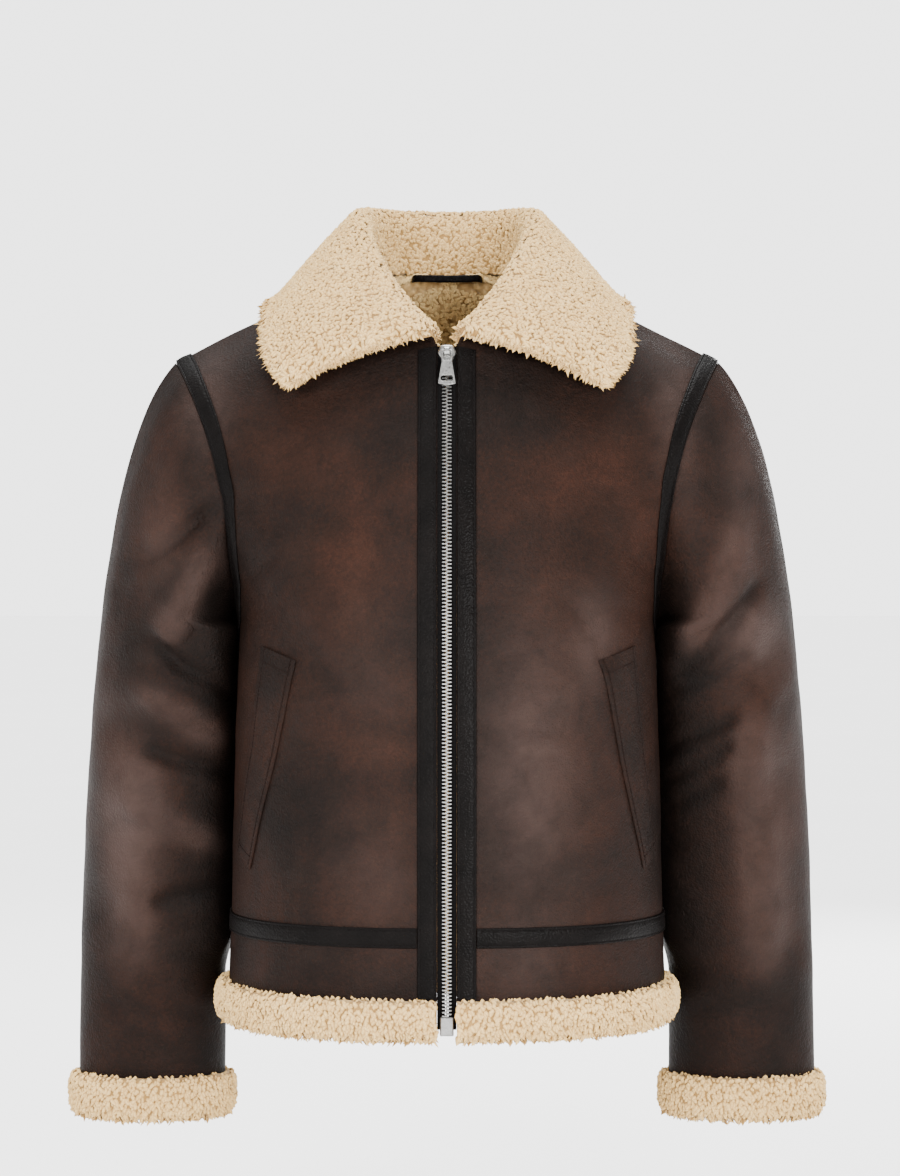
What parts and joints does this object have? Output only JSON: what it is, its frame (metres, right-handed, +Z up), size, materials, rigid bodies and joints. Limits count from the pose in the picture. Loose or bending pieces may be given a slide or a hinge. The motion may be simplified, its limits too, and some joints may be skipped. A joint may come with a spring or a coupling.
{
  "type": "aviator jacket",
  "caption": "Zipped shearling aviator jacket in brown leather with a wide fleece collar, fleece cuffs and hem, filled out as worn",
  "frame": {"origin": "centre plane, midway between the shoulders and level with the side neck points, where a wearer's shoulders hold the garment", "axes": "+Z up, -Y out of the garment's front, +X to the viewer's right when seen from the front"},
  "size_m": [0.671, 0.31, 0.8092],
  "materials": {
    "leather_brown": "mottled dark brown with a soft sheen",
    "leather_black": "black pebble grain",
    "fleece": "cream curled shearling pile",
    "zip_cloth": "woven black zip tape",
    "metal": "bright nickel plate"
  },
  "bodies": {
    "garment": {"front_left": "leather_brown", "front_right": "leather_brown", "back_body": "leather_brown", "hem_band_front_left": "leather_brown", "hem_band_front_right": "leather_brown", "hem_band_back": "leather_brown", "sleeve_left": "leather_brown", "sleeve_right": "leather_brown", "collar_under": "leather_brown", "pocket_welt_left": "leather_brown", "pocket_welt_right": "leather_brown", "armhole_tape_left": "leather_black", "armhole_tape_right": "leather_black", "placket_left": "leather_black", "placket_right": "leather_black", "hem_tape_front_left": "leather_black", "hem_tape_front_right": "leather_black", "hem_tape_back": "leather_black", "hanger_loop": "leather_black", "cuff_fleece_left": "fleece", "cuff_fleece_right": "fleece", "hem_fleece_front_left": "fleece", "hem_fleece_front_right": "fleece", "hem_fleece_back": "fleece", "collar_upper": "fleece", "zip_tape_left": "zip_cloth", "zip_tape_right": "zip_cloth", "zip_chain": "metal", "zip_slider": "metal", "zip_box": "metal"},
    "pull_tab": {"zip_pull_tab": "metal"}
  },
  "joints": [
    {"name": "tab_swing", "type": "hinge", "parent": "garment", "child": "pull_tab", "pos_m": [0, -0.11908, -0.06271], "axis": [-1, 0, 0], "range_deg": [0, 110]}
  ]
}
